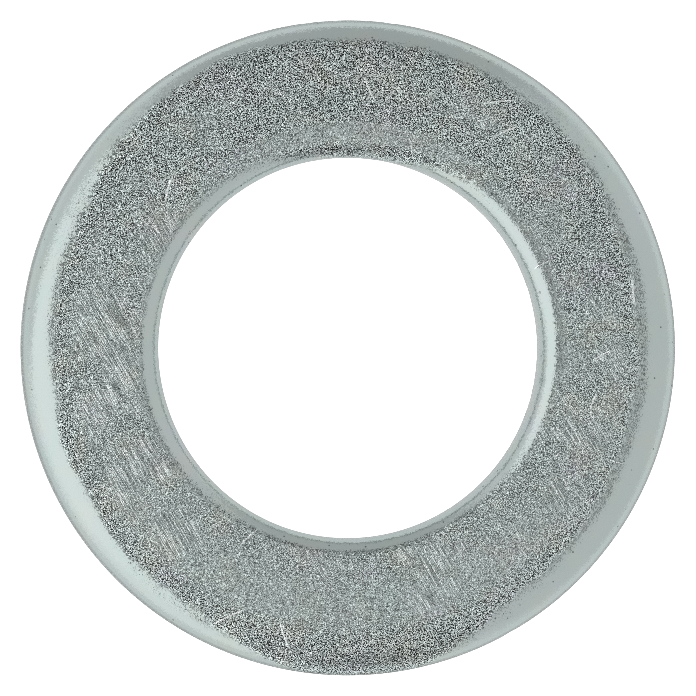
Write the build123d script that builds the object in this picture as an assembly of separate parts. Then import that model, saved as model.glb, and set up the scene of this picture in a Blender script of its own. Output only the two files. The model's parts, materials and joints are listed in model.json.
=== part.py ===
from build123d import *

import os

# A plain flat washer for an M16 bolt, blanked from mild steel sheet, tumbled
# and zinc plated. It is one piece. It lies flat, centred on the Z axis, with
# its lower face at Z = 0. All sizes are in millimetres.

# Driving dimensions.
bolt_diameter = 16.0
bolt_clearance = 1.2  # over the diameter, between the bolt and the bore
outer_diameter = 29.6
thickness = 3.0

# The upper edges are drawn over by the blanking tool. Each is a quarter of an
# ellipse: its width runs along the face, and its depth down the wall.
outer_roll_width = 1.4
outer_roll_depth = 1.2
bore_roll_width = 0.8
bore_roll_depth = 0.8

# Below the burnished band the sheet tears. The torn band leans away from the
# burnished one, and ends in a tumbled corner at the lower face.
fracture_height = 0.9
outer_fracture_lean = 0.1
bore_fracture_lean = 0.1
lower_corner_radius = 0.15

bore_radius = (bolt_diameter + bolt_clearance) / 2
outer_radius = outer_diameter / 2


def washer_section():
    """Half of the washer's cross-section, in the XZ plane."""
    outer_roll_start = thickness - outer_roll_depth
    bore_roll_end = thickness - bore_roll_depth
    outer_foot = outer_radius - outer_fracture_lean
    bore_foot = bore_radius + bore_fracture_lean
    with BuildSketch(Plane.XZ) as section:
        with BuildLine():
            lower_face = Line((bore_foot, 0), (outer_foot, 0))
            outer_tear = Line(lower_face @ 1, (outer_radius, fracture_height))
            Line(outer_tear @ 1, (outer_radius, outer_roll_start))
            EllipticalCenterArc(
                (outer_radius - outer_roll_width, outer_roll_start),
                outer_roll_width,
                outer_roll_depth,
                start_angle=0,
                arc_size=90,
            )
            Line(
                (outer_radius - outer_roll_width, thickness),
                (bore_radius + bore_roll_width, thickness),
            )
            EllipticalCenterArc(
                (bore_radius + bore_roll_width, bore_roll_end),
                bore_roll_width,
                bore_roll_depth,
                start_angle=90,
                arc_size=90,
            )
            bore_wall = Line((bore_radius, bore_roll_end), (bore_radius, fracture_height))
            Line(bore_wall @ 1, lower_face @ 0)
        make_face()
        lower_corners = section.vertices().group_by(Axis.Y)[0]
        fillet(lower_corners, lower_corner_radius)
    return section.sketch


def washer():
    """The whole washer, turned from its section."""
    return revolve(washer_section(), Axis.Z)


os.makedirs("parts", exist_ok=True)
export_step(washer(), "parts/washer.step")
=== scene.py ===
import json
import math
import random

import bmesh
import bpy
from mathutils import Matrix, Vector, kdtree, noise


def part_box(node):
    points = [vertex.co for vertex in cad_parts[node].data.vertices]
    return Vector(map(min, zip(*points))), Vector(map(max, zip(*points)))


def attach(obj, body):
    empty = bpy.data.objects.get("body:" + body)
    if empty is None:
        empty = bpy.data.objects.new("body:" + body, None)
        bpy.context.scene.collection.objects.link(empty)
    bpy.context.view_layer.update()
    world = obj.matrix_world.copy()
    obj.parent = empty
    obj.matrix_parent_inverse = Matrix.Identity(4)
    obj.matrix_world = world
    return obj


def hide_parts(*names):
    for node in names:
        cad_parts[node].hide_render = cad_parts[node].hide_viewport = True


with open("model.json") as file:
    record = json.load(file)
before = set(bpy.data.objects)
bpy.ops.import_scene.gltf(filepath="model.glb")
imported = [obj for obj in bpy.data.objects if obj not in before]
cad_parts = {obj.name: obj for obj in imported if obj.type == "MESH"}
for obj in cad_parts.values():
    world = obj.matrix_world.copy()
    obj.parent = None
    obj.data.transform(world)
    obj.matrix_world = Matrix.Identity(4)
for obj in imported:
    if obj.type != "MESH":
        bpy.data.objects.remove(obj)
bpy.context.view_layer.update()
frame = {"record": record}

mm = 0.001
washerLow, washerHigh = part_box("washer")
outerRadius = washerHigh.x
topZ = washerHigh.z
boltHole = next(m for m in frame["record"]["mounts"] if m["name"] == "bolt_hole")
boreRadius = boltHole["dims"]["r_mm"] * mm
print("frame loaded: outer radius %.2f mm, bore radius %.2f mm" % (outerRadius / mm, boreRadius / mm))

# lengths are in millimetres
washerShape = {
    "steps": 720,  # faces round the ring, a multiple of eight
    "ringSpacing": 0.14,  # between edge loops along the section
    "outerRollWidth": 1.4,
    "outerRollDepth": 1.2,
    "outerRollSegments": 20,
    "boreRollWidth": 0.8,
    "boreRollDepth": 0.8,
    "boreRollSegments": 12,
    "lowerCorner": 0.15,
    "lowerCornerSegments": 3,
    "tearHeight": 0.9,
    "tearLean": 0.1,
    "tearLineWander": 0.16,
    "tearRough": 0.035,
    "crownStart": 10.4,  # radius where the face starts to fall away
    "crownFall": 0.05,
    "boreFall": 0.01,
    "boreFallWidth": 0.8,
    "faceWave": 0.004,  # height of the gentle waves in the sheet
    "faceWaveLength": 1.6,
    "rollUneven": 0.18,  # how far the inner edge of the roll wanders
    "rollUnevenReach": 1.6,  # and how far into the face that shows
    "outOfRound": 0.012,
    "dents": 46,
    "dentSize": (0.16, 0.42),
    "dentDepth": (0.004, 0.014),
    "edgeNicks": 30,
    "nickSize": (0.18, 0.45),
    "nickDepth": (0.008, 0.022),
    "dentStretch": 1.7,  # how much longer than wide a dent is
    "seed": 7,
}


def smoothStep(low, high, value):
    t = min(max((value - low) / (high - low), 0), 1)
    return t * t * (3 - 2 * t)


def softNoise(x, y, z, seed):
    return noise.noise(Vector((x, y, z + 17.3 * seed)))


def layeredNoise(x, y, seed, *layers):
    # each layer is a size and an amount, and takes the next seed
    total = 0
    for step, (size, amount) in enumerate(layers):
        total += amount * softNoise(x / size, y / size, 0, seed + step)
    return total


def sectionVert(bm, x, z):
    return min(bm.verts, key=lambda v: (v.co.x - x) ** 2 + (v.co.z - z) ** 2)


def roundCorner(bm, x, z, width, depth, segments):
    # the bevel is round, so a section stretched in Z gives it the two different sizes
    stretch = Matrix.Diagonal((1, 1, width / depth, 1))
    bmesh.ops.transform(bm, matrix=stretch, verts=bm.verts[:])
    corner = sectionVert(bm, x, z * width / depth)
    bmesh.ops.bevel(
        bm, geom=[corner], offset=width, offset_type="OFFSET", segments=segments,
        profile=0.5, affect="VERTICES", material=-1, clamp_overlap=False,
    )
    bmesh.ops.transform(bm, matrix=stretch.inverted(), verts=bm.verts[:])


def washerSection(shape):
    # an outline in the XZ plane, cut into short edges
    bm = bmesh.new()
    tearZ = shape["tearHeight"] * mm
    boreFoot = boreRadius + shape["tearLean"] * mm
    outerFoot = outerRadius - shape["tearLean"] * mm
    corners = (
        (boreFoot, 0), (outerFoot, 0), (outerRadius, tearZ),
        (outerRadius, topZ), (boreRadius, topZ), (boreRadius, tearZ),
    )
    bm.faces.new([bm.verts.new((x, 0, z)) for x, z in corners])
    for x, roll in ((outerRadius, "outerRoll"), (boreRadius, "boreRoll")):
        width, depth = shape[roll + "Width"] * mm, shape[roll + "Depth"] * mm
        roundCorner(bm, x, topZ, width, depth, shape[roll + "Segments"])
    lower = shape["lowerCorner"] * mm
    for x in (outerFoot, boreFoot):
        roundCorner(bm, x, 0, lower, lower, shape["lowerCornerSegments"])
    bmesh.ops.delete(bm, geom=bm.faces[:], context="FACES_ONLY")
    for edge in bm.edges[:]:
        cuts = round(edge.calc_length() / (shape["ringSpacing"] * mm)) - 1
        if cuts > 0:
            bmesh.ops.subdivide_edges(bm, edges=[edge], cuts=cuts)
    return bm


def washerBlank(shape):
    bm = washerSection(shape)
    # an eighth of the ring is spun, then turned copies double it three times
    bmesh.ops.spin(
        bm, geom=bm.verts[:] + bm.edges[:], cent=(0, 0, 0), axis=(0, 0, 1), dvec=(0, 0, 0),
        angle=math.tau / 8, steps=shape["steps"] // 8, use_duplicate=False,
    )
    for part in (8, 4, 2):
        copy = bmesh.ops.duplicate(bm, geom=bm.verts[:] + bm.edges[:] + bm.faces[:])
        copied = [g for g in copy["geom"] if isinstance(g, bmesh.types.BMVert)]
        turn = Matrix.Rotation(math.tau / part, 3, "Z")
        bmesh.ops.rotate(bm, verts=copied, cent=(0, 0, 0), matrix=turn)
    bmesh.ops.remove_doubles(bm, verts=bm.verts[:], dist=1e-6)
    bmesh.ops.recalc_face_normals(bm, faces=bm.faces[:])
    return bm


def tearLine(x, y, shape):
    # height of the ragged line between the burnished band and the tear, in millimetres
    wander = layeredNoise(x, y, 6, (2.2, 1.5), (0.6, 1.0))
    return shape["tearHeight"] + shape["tearLineWander"] * wander


# where the sheet's pebbled skin shows, in millimetres; a pair is where something starts and is complete,
# and a spot is an azimuth and a half-width in degrees, then an amount
sheetSkin = {
    "edge": -0.2,  # from the start of a roll, and less than 0 where the skin stops short of it
    "wander": 0.3,  # how far that edge strays
    "outerFade": (0.1, -0.13),
    "outerSpots": (  # how much further down the outer roll the skin runs
        (92, 50, 0.7), (125, 22, 0.4), (-90, 23, 1.6), (-85, 40, 0.2), (190, 45, 0.25), (0, 35, -0.2),
    ),
    "boreFade": (-0.2, 0.25),
    "boreSpots": ((-75, 50, 0.5), (85, 28, 1.1), (15, 30, -0.2)),
    "rubbed": 0.32,  # share of the skin that is rubbed off in patches
    "belt": (0.3, 1.4),  # beside the outer roll, where the skin is not rubbed off, so the belt there shows the full painted grain shade and comes out darker
    "worn": 0.14,  # half of the wear on the side towards -Y
    "wornFrom": (-0.1, 1.2),  # inwards from the start of the outer roll
    "wornRing": 0.3,  # more wear along a ring on that side
    "wornRingRadius": 11.6,
    "wornRingWidth": (1.5, 0.3),
    "boreWorn": ((88, 34, 0.7),),
    "boreWornRadius": 0.35,  # outwards from the end of the bore's roll
    "boreWornWidth": (0.6, 0.25),
    "lineSpots": ((192, 48, 1.0), (-35, 50, 0.6)),  # where the rolling lines, with their painted highlights, show
    "lineStart": 0.45,
    "underside": 0.9,
    "wallDepth": 0.12,
    "drawnAndShadeTop": (2.45, 2.0),  # height up to which the drawing lines and the painted wall shade reach; it takes in the outer roll's outermost edge, so that edge is painted darker as shade
    # on the bore the painted shade is weaker
    "boreDrawnAndShadeTop": (2.25, 2.0),
    "boreDrawnAndShade": 0.25,
}


def spotSum(spots, sideX, sideY):
    # each spot fades to both sides of its azimuth
    azimuth = math.degrees(math.atan2(sideY, sideX))
    total = 0
    for middle, width, amount in spots:
        turn = (azimuth - middle + 180) % 360 - 180
        total += amount * math.exp(-(turn / width) ** 2)
    return total


def markWasher(bm, shape, skin):
    # masks for the material: pebbled skin, rolling lines, drawn wall and torn wall; they also set where
    # painted light goes: painted grain shade on the skin, painted highlights on the lines, and painted
    # shade on the walls and on the outer roll's outermost edge
    names = ("pebbleAndShade", "linedAndHighlit", "drawnAndShaded", "tornAndShaded")
    pebbleAndShade, linedAndHighlit, drawnAndShaded, tornAndShaded = (bm.verts.layers.float.new(name) for name in names)
    rollInner = outerRadius / mm - shape["outerRollWidth"]
    boreInner = boreRadius / mm + shape["boreRollWidth"]
    wallInner, wallOuter = boreRadius / mm + skin["wallDepth"], outerRadius / mm - skin["wallDepth"]
    for v in bm.verts:
        x, y, z = (c / mm for c in v.co)
        radius = math.hypot(x, y)
        sideX, sideY = x / radius, y / radius
        wander = layeredNoise(sideX, sideY, 11, (1 / 2.6, 1.0), (1 / 9, 0.5))
        wander = skin["wander"] * (wander + layeredNoise(x, y, 13, (0.7, 0.5)))
        outerLine = rollInner + skin["edge"] + wander + spotSum(skin["outerSpots"], sideX, sideY)
        boreLine = boreInner - skin["edge"] + wander / 2 - spotSum(skin["boreSpots"], sideX, sideY)
        onFace = smoothStep(*skin["outerFade"], radius - outerLine)
        onFace *= smoothStep(*skin["boreFade"], radius - boreLine)
        rubbed = smoothStep(0.1, 0.5, layeredNoise(x, y, 14, (5.5, 1.0), (1.5, 0.45)))
        onRing = smoothStep(*skin["wornRingWidth"], abs(radius - skin["wornRingRadius"]))
        worn = skin["worn"] * (1 - sideY) + skin["wornRing"] * onRing * smoothStep(-0.3, -0.8, sideY)
        worn *= smoothStep(*skin["wornFrom"], rollInner - radius)
        nearBore = smoothStep(*skin["boreWornWidth"], abs(radius - boreInner - skin["boreWornRadius"]))
        worn += spotSum(skin["boreWorn"], sideX, sideY) * nearBore
        inside = smoothStep(*skin["belt"], rollInner - radius)
        v[pebbleAndShade] = onFace * (1 - worn) * (1 - skin["rubbed"] * rubbed * inside)
        cover = spotSum(skin["lineSpots"], sideX, sideY) - skin["lineStart"]
        cover += layeredNoise(x, y, 16, (2.4, 1.0), (0.8, 0.5))
        v[linedAndHighlit] = onFace * inside * smoothStep(-0.1, 0.5, cover)
        if z < 0.01:
            v[pebbleAndShade] = skin["underside"]
        onWall = radius > wallOuter or radius < wallInner
        line = tearLine(x, y, shape)
        # painted shade: the torn mask also darkens the torn band of the walls
        v[tornAndShaded] = smoothStep(line + 0.06, line - 0.06, z) * smoothStep(0.03, 0.12, z) * onWall
        # painted shade: the walls and the outer roll's outermost edge are painted darker
        v[drawnAndShaded] = smoothStep(line - 0.02, line + 0.1, z) * smoothStep(*skin["drawnAndShadeTop"], z) * onWall
        if radius < wallInner:
            v[drawnAndShaded] *= skin["boreDrawnAndShade"] * smoothStep(*skin["boreDrawnAndShadeTop"], z)


def shapeWasher(bm, shape):
    # the face falls away towards both rolled edges, waves a little, and the roll's edge wanders
    rollInner = outerRadius - shape["outerRollWidth"] * mm
    boreInner = boreRadius + shape["boreRollWidth"] * mm
    rollBottom = topZ - shape["outerRollDepth"] * mm
    crownStart = shape["crownStart"] * mm
    for v in bm.verts:
        x, y, z = v.co
        radius = math.hypot(x, y)
        outward = Vector((x / radius, y / radius, 0))
        up = smoothStep(rollBottom, topZ, z)
        crown = max(0, (min(radius, rollInner) - crownStart) / (rollInner - crownStart)) ** 2
        fall = shape["crownFall"] * crown
        fall += shape["boreFall"] * smoothStep(boreInner + shape["boreFallWidth"] * mm, boreInner, radius)
        wave = layeredNoise(x / mm, y / mm, 1, (shape["faceWaveLength"], 1.0), (4.5, 1.6))
        fall += shape["faceWave"] * max(0, 0.6 + wave)
        wander = layeredNoise(outward.x, outward.y, 3, (1 / 3.2, 1.1), (1 / 11, 0.5))
        nearRoll = smoothStep(rollInner - shape["rollUnevenReach"] * mm, rollInner, radius)
        nearRoll *= smoothStep(outerRadius, rollInner, radius)
        wobble = layeredNoise(outward.x, outward.y, 5, (1 / 1.7, 1.0)) - 0.5
        shift = shape["rollUneven"] * wander * nearRoll * up
        shift += shape["outOfRound"] * wobble * smoothStep(rollInner, outerRadius, radius)
        v.co += outward * (shift * mm)
        v.co.z -= fall * up * mm


def tearWalls(bm, shape):
    # below the burnished band the metal tore: ragged, and with a wandering upper line
    for v in bm.verts:
        x, y, z = (c / mm for c in v.co)
        radius = math.hypot(x, y)
        onWall = radius > outerRadius / mm - 0.25 or radius < boreRadius / mm + 0.25
        if not onWall or z > 1.3:
            continue
        intoMetal = -1 if radius > (outerRadius + boreRadius) / 2 / mm else 1
        line = tearLine(x, y, shape)
        depth = smoothStep(line, line - 0.15, z) * smoothStep(0.02, 0.2, z)
        rough = softNoise(x / 0.35, y / 0.35, z / 0.9, 8)
        rough += 0.6 * softNoise(x / 0.16, y / 0.16, z / 0.4, 9)
        push = shape["tearRough"] * mm * depth * max(0, 0.55 + rough)
        v.co += Vector((x / radius, y / radius, 0)) * (intoMetal * push)


def dentWasher(bm, shape):
    dice = random.Random(shape["seed"])
    spots = []

    def addSpot(angle, radius, height, size, depth):
        centre = Vector((radius * math.cos(angle), radius * math.sin(angle), height))
        size = dice.uniform(*size) * mm
        depth = dice.uniform(*depth) * mm
        spots.append((centre, size, depth, dice.uniform(0, math.pi)))

    for i in range(shape["dents"]):
        angle = dice.uniform(0, math.tau)
        radius = dice.uniform(boreRadius / mm + 0.5, outerRadius / mm - 0.5) * mm
        height = topZ if dice.random() < 0.6 else 0
        addSpot(angle, radius, height, shape["dentSize"], shape["dentDepth"])
    edges = (
        (outerRadius - 0.25 * mm, topZ - 0.45 * mm), (outerRadius, topZ - 1.2 * mm),
        (boreRadius + 0.15 * mm, topZ - 0.3 * mm), (outerRadius - 0.1 * mm, 0.05 * mm),
    )
    for i in range(shape["edgeNicks"]):
        angle = dice.uniform(0, math.tau)
        radius, height = dice.choice(edges)
        addSpot(angle, radius, height, shape["nickSize"], shape["nickDepth"])
    bm.normal_update()
    bm.verts.index_update()
    bm.verts.ensure_lookup_table()
    tree = kdtree.KDTree(len(bm.verts))
    for v in bm.verts:
        tree.insert(v.co, v.index)
    tree.balance()
    for centre, size, depth, turn in spots:
        long = Vector((math.cos(turn), math.sin(turn), 0))
        for place, index, distance in tree.find_range(centre, 1.8 * size):
            away = place - centre
            along = away.dot(long)
            across = away - along * long
            reach = math.sqrt(across.length_squared + (along / shape["dentStretch"]) ** 2) / size
            if reach < 1:
                vert = bm.verts[index]
                vert.co -= vert.normal * (depth * (1 - reach * reach) ** 2)


def finishMesh(bm, name):
    bm.normal_update()
    mesh = bpy.data.meshes.new(name)
    bm.to_mesh(mesh)
    bm.free()
    mesh.shade_smooth()
    piece = bpy.data.objects.new(name, mesh)
    bpy.context.scene.collection.objects.link(piece)
    return piece


def newGroup(name, inputs, outputs):
    tree = bpy.data.node_groups.new(name, "ShaderNodeTree")
    for socketName, kind, value in inputs:
        socket = tree.interface.new_socket(socketName, in_out="INPUT", socket_type="NodeSocket" + kind)
        if value is not None:
            socket.default_value = value
    for socketName, kind in outputs:
        tree.interface.new_socket(socketName, in_out="OUTPUT", socket_type="NodeSocket" + kind)
    start = tree.nodes.new("NodeGroupInput").outputs
    end = tree.nodes.new("NodeGroupOutput").inputs
    return tree, start, end


def feed(tree, socket, source):
    # a plain value is set on the socket, and anything else is linked to it
    if isinstance(source, (int, float, tuple)):
        socket.default_value = source
    else:
        tree.links.new(source, socket)


def mathNode(tree, operation, a, b=None):
    node = tree.nodes.new("ShaderNodeMath")
    node.operation = operation
    feed(tree, node.inputs[0], a)
    if b is not None:
        feed(tree, node.inputs[1], b)
    return node.outputs[0]


def vectorNode(tree, operation, a, b=None):
    node = tree.nodes.new("ShaderNodeVectorMath")
    node.operation = operation
    feed(tree, node.inputs[0], a)
    if b is not None:
        feed(tree, node.inputs["Scale" if operation == "SCALE" else 1], b)
    return node.outputs["Value" if operation == "DOT_PRODUCT" else "Vector"]


def turnNode(tree, vector, turn):
    node = tree.nodes.new("ShaderNodeVectorRotate")
    node.rotation_type = "EULER_XYZ"
    feed(tree, node.inputs["Vector"], vector)
    feed(tree, node.inputs["Rotation"], turn)
    return node.outputs["Vector"]


def noiseNode(tree, vector, scale, detail=0.0, roughness=0.5):
    node = tree.nodes.new("ShaderNodeTexNoise")
    feed(tree, node.inputs["Vector"], vector)
    feed(tree, node.inputs["Scale"], scale)
    node.inputs["Detail"].default_value = detail
    node.inputs["Roughness"].default_value = roughness
    return node.outputs["Fac"]


def cellNode(tree, vector, size):
    # cells of a size in millimetres
    node = tree.nodes.new("ShaderNodeTexVoronoi")
    feed(tree, node.inputs["Vector"], vector)
    feed(tree, node.inputs["Scale"], mathNode(tree, "DIVIDE", 1 / mm, size))
    return node.outputs


def rangeNode(tree, value, low, high, toLow=0.0, toHigh=1.0, smooth=False):
    node = tree.nodes.new("ShaderNodeMapRange")
    if smooth:
        node.interpolation_type = "SMOOTHSTEP"
    names = ("Value", "From Min", "From Max", "To Min", "To Max")
    for name, source in zip(names, (value, low, high, toLow, toHigh)):
        feed(tree, node.inputs[name], source)
    return node.outputs["Result"]


def mixValue(tree, amount, a, b):
    node = tree.nodes.new("ShaderNodeMix")
    for name, source in (("Factor", amount), ("A", a), ("B", b)):
        feed(tree, node.inputs[name], source)
    return node.outputs["Result"]


def sheetGrainGroup():
    # the pebbled skin of rolled sheet under zinc, with painted light in its colour: painted shade darkens
    # the hollows, and painted highlights brighten the grain tops
    tree, start, end = newGroup(
        "sheetGrainAndPaintedLight",
        [("Vector", "Vector", None), ("Amount", "Float", 1.0), ("Grain Size mm", "Float", 0.09),
         ("Dark", "Float", 0.2), ("Bright", "Float", 1.3)],
        [("Height", "Float"), ("Shade", "Float")],
    )
    # tilted, because a flat face would cut the noise along its own lattice
    tilted = turnNode(tree, start["Vector"], (0.6, 0.5, 0.3))
    scale = mathNode(tree, "DIVIDE", 1 / mm, start["Grain Size mm"])
    grainAndShade = noiseNode(tree, tilted, scale, 1.5, 0.45)
    feed(tree, end["Height"], grainAndShade)
    shade = rangeNode(tree, grainAndShade, 0.41, 0.59, start["Dark"], start["Bright"])
    feed(tree, end["Shade"], mixValue(tree, start["Amount"], 1.0, shade))
    return tree


def grainFacetsGroup():
    # small flat facets, each leaning its own way, as zinc grows over pebbled sheet
    tree, start, end = newGroup(
        "grainFacets",
        [("Vector", "Vector", None), ("Facet Size mm", "Float", 0.1), ("Lean", "Float", 0.15)],
        [("Normal", "Vector")],
    )
    cells = cellNode(tree, start["Vector"], start["Facet Size mm"])
    centred = vectorNode(tree, "SUBTRACT", cells["Color"], (0.5, 0.5, 0.5))
    lean = vectorNode(tree, "SCALE", centred, mathNode(tree, "MULTIPLY", start["Lean"], 2.0))
    surface = tree.nodes.new("ShaderNodeNewGeometry").outputs["Normal"]
    feed(tree, end["Normal"], vectorNode(tree, "NORMALIZE", vectorNode(tree, "ADD", surface, lean)))
    return tree


def streaksGroup():
    # parallel hairlines: rolling lines on the sheet, drawing lines on the walls; their shade is painted
    # light: painted highlights along the rolling lines, painted shade on the walls
    tree, start, end = newGroup(
        "streaksAndPaintedLight",
        [("Vector", "Vector", None), ("Turn", "Vector", (0, 0, 0)), ("Across mm", "Float", 0.08),
         ("Length mm", "Float", 1.4), ("Amount", "Float", 0.5), ("Dark", "Float", 0.6),
         ("Bright", "Float", 1.3)],
        [("Height", "Float"), ("Shade", "Float")],
    )
    # the long way is along X once the surface is turned
    turned = turnNode(tree, start["Vector"], start["Turn"])
    squeeze = tree.nodes.new("ShaderNodeCombineXYZ")
    across = mathNode(tree, "DIVIDE", 1 / mm, start["Across mm"])
    feed(tree, squeeze.inputs["X"], mathNode(tree, "DIVIDE", 1 / mm, start["Length mm"]))
    feed(tree, squeeze.inputs["Y"], across)
    feed(tree, squeeze.inputs["Z"], across)
    linesAndShade = noiseNode(tree, vectorNode(tree, "MULTIPLY", turned, squeeze.outputs["Vector"]), 1.0, 1.0)
    feed(tree, end["Height"], mathNode(tree, "MULTIPLY", linesAndShade, start["Amount"]))
    shade = rangeNode(tree, linesAndShade, 0.46, 0.66, start["Dark"], start["Bright"])
    feed(tree, end["Shade"], mixValue(tree, start["Amount"], 1.0, shade))
    return tree


def zincTintGroup():
    # clear passivated zinc: a grey with faint blue-green, violet and straw clouds
    tree, start, end = newGroup(
        "zincTint",
        [("Vector", "Vector", None), ("Grey", "Color", (0.7, 0.75, 0.75, 1)), ("Cloud", "Float", 0.5)],
        [("Color", "Color")],
    )
    clouds = (
        (330, 0.0, (0.50, 0.61, 0.595, 1)),
        (520, 3.1, (0.60, 0.585, 0.64, 1)),
        (610, 7.7, (0.61, 0.61, 0.54, 1)),
    )
    tint = start["Grey"]
    for scale, offset, colour in clouds:
        moved = vectorNode(tree, "ADD", start["Vector"], (offset, offset, 0.0))
        cloud = rangeNode(tree, noiseNode(tree, moved, scale, 3.0), 0.5, 0.72)
        mix = tree.nodes.new("ShaderNodeMix")
        mix.data_type = "RGBA"
        feed(tree, mix.inputs["Factor"], mathNode(tree, "MULTIPLY", cloud, start["Cloud"]))
        tree.links.new(tint, mix.inputs["A"])
        mix.inputs["B"].default_value = colour
        tint = mix.outputs["Result"]
    feed(tree, end["Color"], tint)
    return tree


def scratchGroup():
    # one shallow curved scratch, faint at both ends
    tree, start, end = newGroup(
        "scratch",
        [("Vector", "Vector", None), ("Middle", "Vector", (0, 0, 0)), ("Turn", "Vector", (0, 0, 0)),
         ("Length mm", "Float", 1.0), ("Width mm", "Float", 0.05)],
        [("Mask", "Float")],
    )
    moved = vectorNode(tree, "SUBTRACT", start["Vector"], start["Middle"])
    apart = tree.nodes.new("ShaderNodeSeparateXYZ")
    feed(tree, apart.inputs["Vector"], turnNode(tree, moved, start["Turn"]))
    halfLength = mathNode(tree, "MULTIPLY", start["Length mm"], mm / 2)
    along = mathNode(tree, "DIVIDE", mathNode(tree, "ABSOLUTE", apart.outputs["X"]), halfLength)
    bent = mathNode(tree, "MULTIPLY", mathNode(tree, "MULTIPLY", along, along), start["Width mm"])
    across = mathNode(tree, "SUBTRACT", mathNode(tree, "DIVIDE", apart.outputs["Y"], mm), bent)
    across = mathNode(tree, "DIVIDE", mathNode(tree, "ABSOLUTE", across), start["Width mm"])
    inLength = rangeNode(tree, along, 0.6, 1.0, 1.0, 0.0)
    inWidth = rangeNode(tree, across, 0.3, 1.0, 1.0, 0.0)
    feed(tree, end["Mask"], mathNode(tree, "MULTIPLY", inLength, inWidth))
    return tree


def pitsGroup():
    # pinhead pits, in some cells only
    tree, start, end = newGroup(
        "pits",
        [("Vector", "Vector", None), ("Apart mm", "Float", 0.6), ("Pit Size mm", "Float", 0.06),
         ("Share", "Float", 0.35)],
        [("Mask", "Float")],
    )
    cells = cellNode(tree, start["Vector"], start["Apart mm"])
    edge = mathNode(tree, "DIVIDE", start["Pit Size mm"], start["Apart mm"])
    dot = rangeNode(tree, cells["Distance"], mathNode(tree, "MULTIPLY", edge, 0.4), edge, 1.0, 0.0)
    picked = tree.nodes.new("ShaderNodeSeparateColor")
    feed(tree, picked.inputs["Color"], cells["Color"])
    chosen = mathNode(tree, "LESS_THAN", picked.outputs["Red"], start["Share"])
    feed(tree, end["Mask"], mathNode(tree, "MULTIPLY", dot, chosen))
    return tree


# sizes and depths are in millimetres; a dark or bright value multiplies the zinc's colour
platedSteel = {
    "grey": (0.543, 0.612, 0.599, 1),
    "cloud": 0.5,
    "rollCloud": 0.3,
    "roughness": 0.2,
    "facetSize": 0.07,
    "facetLean": 0.15,
    "rollLean": 0.06,
    "grainSize": 0.055,
    "grainDepth": 0.020,
    "rollGrain": 0.3,  # how much of that depth the smooth rolls keep
    # painted shade in the grain's hollows and painted highlights on its tops, multiplied into the zinc's
    # colour
    "grainPaintedShade": 0.04,
    "grainPaintedHighlight": 1.7,
    "lineTurn": math.radians(60),
    "lineAcross": 0.042,
    "lineLength": 1.1,
    "lineDepth": 0.012,
    # painted highlights: the rolling lines are painted bright in the colour, and darker between them
    "linePaintedShade": 0.66,
    "linePaintedHighlight": 1.95,
    "lineFlattens": 0.4,  # how much of the grain the lines rub away
    "drawnAcross": 0.06,
    "drawnLength": 2.5,
    "drawnDepth": 0.008,
    # painted shade: both values darken the walls and the roll's outermost edge
    "drawnPaintedShadeDark": 0.45,
    "drawnPaintedShadeLight": 0.85,
    "tornRoughness": 0.45,
    "tornGrain": 0.16,
    "tornDepth": 0.05,
    # painted shade on the torn band: its hollows painted darker, its tops painted brighter, and the whole
    # band painted darker
    "tornPaintedHollowShade": 0.45,
    "tornPaintedHighlight": 1.2,
    "tornPaintedShade": 0.62,
    "pitApart": 0.5,
    "pitSize": 0.06,
    "pitShare": 0.6,
    "pitShade": 0.35,
    "scratches": 12,
    "scratchLength": (0.5, 1.8),
    "scratchWidth": (0.03, 0.06),
    "scratchDepth": 0.006,
    # painted highlight: the scratches are painted near white
    "scratchPaintedHighlight": 1.9,
    "seed": 3,
}


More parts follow.
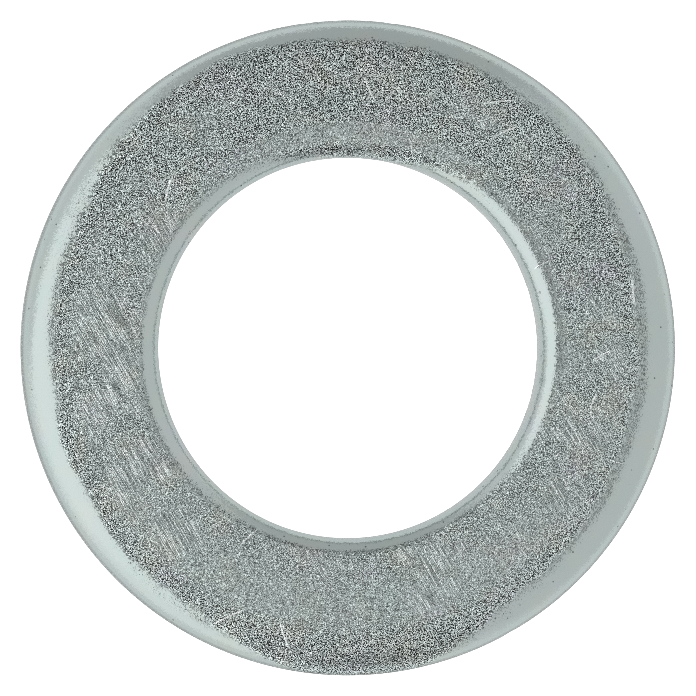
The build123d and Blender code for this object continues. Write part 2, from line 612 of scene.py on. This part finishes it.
def platedSteelMaterial(steel, groups):
    material = bpy.data.materials.new("zincPlatedSteel")
    material.use_nodes = True
    tree = material.node_tree
    shader = tree.nodes["Principled BSDF"]
    shader.inputs["Metallic"].default_value = 1.0
    place = tree.nodes.new("ShaderNodeTexCoord").outputs["Object"]

    def mask(name):
        node = tree.nodes.new("ShaderNodeAttribute")
        node.attribute_name = name
        return node.outputs["Fac"]

    def put(group, values):
        node = tree.nodes.new("ShaderNodeGroup")
        node.node_tree = groups[group]
        feed(tree, node.inputs["Vector"], place)
        for name, value in values.items():
            feed(tree, node.inputs[name], value)
        return node.outputs

    def times(a, b):
        return mathNode(tree, "MULTIPLY", a, b)

    def bump(height, depth, normal):
        node = tree.nodes.new("ShaderNodeBump")
        node.inputs["Distance"].default_value = depth * mm
        feed(tree, node.inputs["Height"], height)
        feed(tree, node.inputs["Normal"], normal)
        return node.outputs["Normal"]

    pebbleAndShade, linedAndHighlit, drawnAndShaded, tornAndShaded = (mask(name) for name in ("pebbleAndShade", "linedAndHighlit", "drawnAndShaded", "tornAndShaded"))

    # colour, with painted shade and painted highlights multiplied into it
    cloud = mixValue(tree, pebbleAndShade, steel["rollCloud"], steel["cloud"])
    tint = put("zincTint", {"Grey": steel["grey"], "Cloud": cloud})
    unrubbed = mathNode(tree, "SUBTRACT", 1.0, times(linedAndHighlit, steel["lineFlattens"]))
    grainAndShade = put("sheetGrainAndPaintedLight", {
        "Amount": times(pebbleAndShade, unrubbed), "Grain Size mm": steel["grainSize"],
        "Dark": steel["grainPaintedShade"], "Bright": steel["grainPaintedHighlight"],
    })
    linesAndShade = put("streaksAndPaintedLight", {
        "Amount": linedAndHighlit, "Turn": (0, 0, steel["lineTurn"]), "Across mm": steel["lineAcross"],
        "Length mm": steel["lineLength"], "Dark": steel["linePaintedShade"], "Bright": steel["linePaintedHighlight"],
    })
    # on the walls the long way is Z; here the streaks also paint shade on the walls
    drawnLinesAndShade = put("streaksAndPaintedLight", {
        "Amount": drawnAndShaded, "Turn": (0, math.pi / 2, 0), "Across mm": steel["drawnAcross"],
        "Length mm": steel["drawnLength"], "Dark": steel["drawnPaintedShadeDark"], "Bright": steel["drawnPaintedShadeLight"],
    })
    tornGrain = put("sheetGrainAndPaintedLight", {
        "Amount": tornAndShaded, "Grain Size mm": steel["tornGrain"],
        "Dark": steel["tornPaintedHollowShade"], "Bright": steel["tornPaintedHighlight"],
    })
    pits = put("pits", {
        "Apart mm": steel["pitApart"], "Pit Size mm": steel["pitSize"], "Share": steel["pitShare"],
    })
    dice = random.Random(steel["seed"])
    scratchesAndHighlight = None
    for i in range(steel["scratches"]):
        angle = dice.uniform(0, math.tau)
        radius = dice.uniform(boreRadius + 0.8 * mm, outerRadius - 1.2 * mm)
        scratch = put("scratch", {
            "Middle": (radius * math.cos(angle), radius * math.sin(angle), 0),
            "Turn": (0, 0, dice.uniform(0, math.pi)),
            "Length mm": dice.uniform(*steel["scratchLength"]),
            "Width mm": dice.uniform(*steel["scratchWidth"]),
        })["Mask"]
        scratchesAndHighlight = scratch if scratchesAndHighlight is None else mathNode(tree, "MAXIMUM", scratchesAndHighlight, scratch)
    shade = times(grainAndShade["Shade"], linesAndShade["Shade"])
    shade = times(shade, drawnLinesAndShade["Shade"])
    shade = times(shade, tornGrain["Shade"])
    # painted shade: the torn band is darkened as a whole
    shade = times(shade, mixValue(tree, tornAndShaded, 1.0, steel["tornPaintedShade"]))
    # painted highlight: the scratches are painted near white
    shade = mixValue(tree, scratchesAndHighlight, shade, steel["scratchPaintedHighlight"])
    shade = times(shade, mixValue(tree, pits["Mask"], 1.0, steel["pitShade"]))
    feed(tree, shader.inputs["Base Color"], vectorNode(tree, "SCALE", tint["Color"], shade))
    rough = mixValue(tree, tornAndShaded, steel["roughness"], steel["tornRoughness"])
    feed(tree, shader.inputs["Roughness"], rough)

    # relief
    lean = mixValue(tree, rangeNode(tree, pebbleAndShade, 0.0, 0.4), steel["rollLean"], steel["facetLean"])
    normal = put("grainFacets", {"Facet Size mm": steel["facetSize"], "Lean": lean})["Normal"]
    normal = bump(linesAndShade["Height"], steel["lineDepth"], normal)
    normal = bump(drawnLinesAndShade["Height"], steel["drawnDepth"], normal)
    normal = bump(times(tornGrain["Height"], tornAndShaded), steel["tornDepth"], normal)
    # centred, so that the relief doesn't step where it fades on to the rolls
    grainHeight = mathNode(tree, "SUBTRACT", grainAndShade["Height"], 0.5)
    grainHeight = times(grainHeight, mixValue(tree, pebbleAndShade, steel["rollGrain"], 1.0))
    normal = bump(grainHeight, steel["grainDepth"], normal)
    normal = bump(scratchesAndHighlight, steel["scratchDepth"], normal)
    feed(tree, shader.inputs["Normal"], normal)
    return material


# soft boxes as the washer sees them, in degrees: tilt is from straight up, reach is half the box's width
softBoxes = {
    "backBox": {"azimuth": 86, "tilt": 69, "reach": 38, "light": 0.57},
    "rightBox": {"azimuth": 351, "tilt": 52, "reach": 45.5, "light": 0.755},
    "lowLeftBox": {"azimuth": 226, "tilt": 91, "reach": 43, "light": 1.1},
    "leftBox": {"azimuth": 193, "tilt": 37, "reach": 34, "light": 1.19},
}

studio = {
    "colour": (0.98, 1.0, 0.995, 1),
    "edgeSoftness": 1.5,  # degrees
    "overhead": 0.035,  # the dim room between the boxes, seen overhead
    "walls": 0.82,  # the pale walls low down
    "wallsFrom": 44,  # degrees from straight up
    "gapAzimuth": 276,  # a dark gap where the photographer stands
    "gapNarrow": 6,
    "gapWide": 13,
    "backdrop": 1.0,  # what the camera sees past the floor
}


def towards(azimuth, tilt):
    a, t = math.radians(azimuth), math.radians(tilt)
    return Vector((math.sin(t) * math.cos(a), math.sin(t) * math.sin(a), math.cos(t)))


def buildStudio(room, boxes):
    world = bpy.data.worlds.new("studioWorld")
    bpy.context.scene.world = world
    world.use_nodes = True
    tree = world.node_tree
    direction = tree.nodes.new("ShaderNodeTexCoord").outputs["Generated"]

    def sideOf(axis):
        return vectorNode(tree, "DOT_PRODUCT", direction, tuple(axis))

    wallLine = math.cos(math.radians(room["wallsFrom"]))
    up = sideOf((0, 0, 1))
    light = rangeNode(tree, up, wallLine - 0.03, wallLine + 0.03, room["walls"], room["overhead"], True)
    # the gap is a narrow upright band on one side
    front = towards(room["gapAzimuth"], 90)
    across = mathNode(tree, "ABSOLUTE", sideOf(front.cross((0, 0, 1))))
    narrow, wide = (math.sin(math.radians(room[name])) for name in ("gapNarrow", "gapWide"))
    band = rangeNode(tree, across, narrow, wide, 1.0, 0.0, True)
    ahead = rangeNode(tree, sideOf(front), 0.0, 0.05, smooth=True)
    light = mixValue(tree, mathNode(tree, "MULTIPLY", band, ahead), light, room["overhead"])
    for box in boxes.values():
        soft = room["edgeSoftness"]
        outside, inside = (math.cos(math.radians(box["reach"] + side)) for side in (soft, -soft))
        near = sideOf(towards(box["azimuth"], box["tilt"]))
        light = mixValue(tree, rangeNode(tree, near, outside, inside, smooth=True), light, box["light"])
    seen = tree.nodes.new("ShaderNodeLightPath").outputs["Is Camera Ray"]
    light = mixValue(tree, seen, light, room["backdrop"])
    back = tree.nodes["Background"]
    back.inputs["Color"].default_value = room["colour"]
    feed(tree, back.inputs["Strength"], light)


paleFloor = {
    "size": 6.0,  # metres
    "drop": 0.00001,  # below the washer
    "colour": (0.84, 0.85, 0.85, 1),
    "roughness": 0.9,
    "glow": 0.26,
    "lift": 0.51,  # added for the camera alone, to keep the floor white
}


def buildFloor(pale):
    bm = bmesh.new()
    bmesh.ops.create_grid(bm, x_segments=1, y_segments=1, size=pale["size"] / 2)
    bmesh.ops.translate(bm, verts=bm.verts[:], vec=(0, 0, washerLow.z - pale["drop"]))
    floor = finishMesh(bm, "floor")
    material = bpy.data.materials.new("paleFloor")
    material.use_nodes = True
    tree = material.node_tree
    shader = tree.nodes["Principled BSDF"]
    shader.inputs["Base Color"].default_value = pale["colour"]
    shader.inputs["Roughness"].default_value = pale["roughness"]
    shader.inputs["Specular IOR Level"].default_value = 0.0
    shader.inputs["Emission Color"].default_value = (1, 1, 1, 1)
    seen = tree.nodes.new("ShaderNodeLightPath").outputs["Is Camera Ray"]
    glow = rangeNode(tree, seen, 0.0, 1.0, pale["glow"], pale["glow"] + pale["lift"])
    feed(tree, shader.inputs["Emission Strength"], glow)
    floor.data.materials.append(material)


cameraPlace = {
    "distance": 0.450,
    "lean": 3.0,  # degrees off straight above, towards -X
    "frameWidth": 0.03145,  # at the washer, metres
}


def buildCamera(view):
    lean = math.radians(view["lean"])
    aim = Vector((0, 0, topZ / 2))
    away = Vector((-math.sin(lean), 0, math.cos(lean)))
    camera = bpy.data.cameras.new("camera")
    camera.lens = camera.sensor_width * view["distance"] / view["frameWidth"]
    camera.clip_start = 0.005
    eye = bpy.data.objects.new("camera", camera)
    eye.location = aim + away * view["distance"]
    # the picture's up is +Y
    side = Vector((0, 1, 0)).cross(away)
    eye.rotation_euler = Matrix((side, (0, 1, 0), away)).transposed().to_euler()
    bpy.context.scene.collection.objects.link(eye)
    bpy.context.scene.camera = eye


buildCamera(cameraPlace)
buildStudio(studio, softBoxes)
buildFloor(paleFloor)
scene = bpy.context.scene
scene.view_settings.view_transform = "Standard"
scene.cycles.use_denoising = False  # it would smear the fine grain
scene.cycles.filter_width = 0.7  # a wider filter would blur it
print("camera, soft boxes and floor placed")

washerMesh = washerBlank(washerShape)
markWasher(washerMesh, washerShape, sheetSkin)
shapeWasher(washerMesh, washerShape)
tearWalls(washerMesh, washerShape)
dentWasher(washerMesh, washerShape)
washer = finishMesh(washerMesh, "washer_ring")
print("washer ring: %d faces" % len(washer.data.polygons))

nodeGroups = {
    "sheetGrainAndPaintedLight": sheetGrainGroup(),
    "grainFacets": grainFacetsGroup(),
    "streaksAndPaintedLight": streaksGroup(),
    "scratch": scratchGroup(),
    "pits": pitsGroup(),
    "zincTint": zincTintGroup(),
}
washer.data.materials.append(platedSteelMaterial(platedSteel, nodeGroups))
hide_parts("washer")
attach(washer, "root")
print("washer ring finished and joined to the frame")
